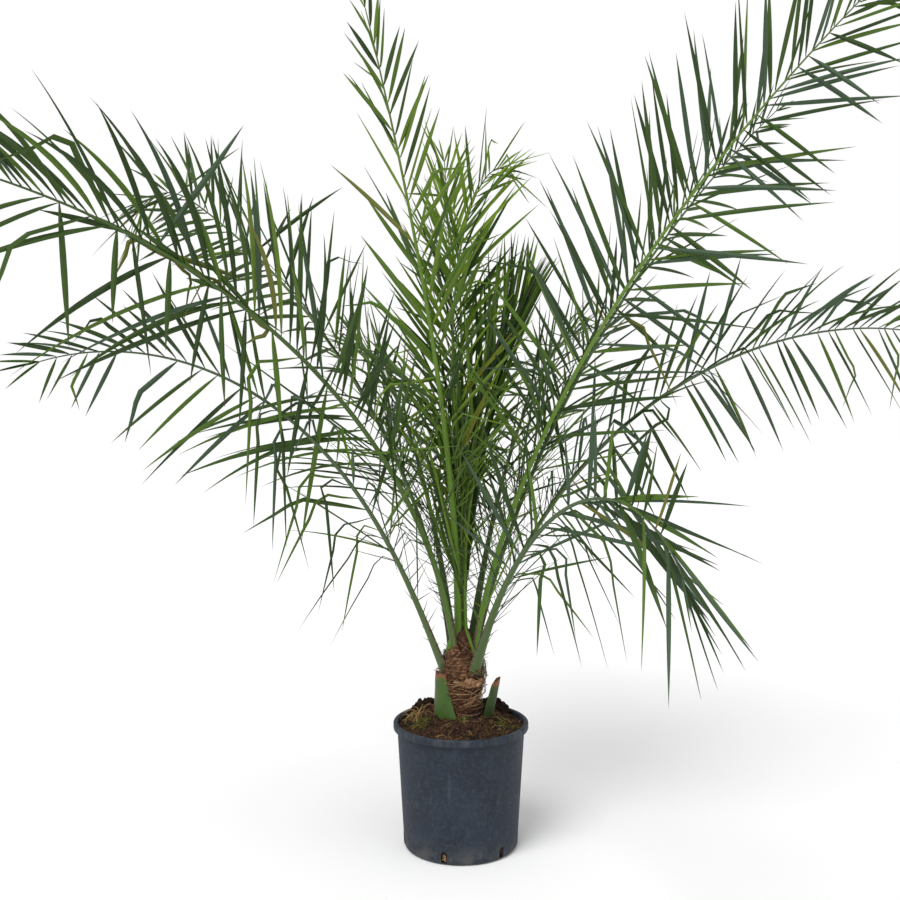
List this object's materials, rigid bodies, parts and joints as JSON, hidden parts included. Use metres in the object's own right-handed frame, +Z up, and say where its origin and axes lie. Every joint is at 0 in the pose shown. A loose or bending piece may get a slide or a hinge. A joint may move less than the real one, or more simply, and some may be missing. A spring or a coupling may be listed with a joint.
{
  "type": "potted date palm",
  "caption": "Young date palm in a round nursery pot, with a short fibrous stem, cut leaf bases and long arching feather fronds of narrow pointed leaflets.",
  "frame": {"origin": "centre of the pot's flat underside", "axes": "+Z up the stem, +X to the side of the longest low frond, +Y towards the back of the crown"},
  "size_m": [3.2636, 2.5393, 2.5853],
  "materials": {
    "pot": "matt slate-grey plastic, scuffed and dusty near the foot",
    "soil": "rough brown potting soil",
    "stem": "brown net of coarse fibres",
    "stub": "green leaf base with a brown cut top",
    "frond": "mid-green leaflets with a low sheen",
    "young_frond": "yellow-green young leaflets with a low sheen"
  },
  "bodies": {
    "root": {"pot": "pot", "soil": "soil", "stem": "stem", "stub_front_left": "stub", "stub_right": "stub", "stub_back": "stub", "stub_back_left": "stub", "frond_left_high": "frond", "frond_left_high_outer": "frond", "frond_right_low": "frond", "frond_right_low_outer": "frond", "frond_left_low": "frond", "frond_left_low_outer": "frond", "frond_front_right": "frond", "frond_front_right_outer": "frond", "frond_back_right": "frond", "frond_back_right_outer": "frond", "frond_back_left": "frond", "frond_back_left_outer": "frond", "frond_right_high": "frond", "frond_left_back": "frond", "frond_right_back": "frond", "frond_back": "frond", "frond_tallest": "young_frond", "frond_young_front": "young_frond", "frond_young_back": "young_frond", "frond_spear": "young_frond"}
  },
  "joints": []
}
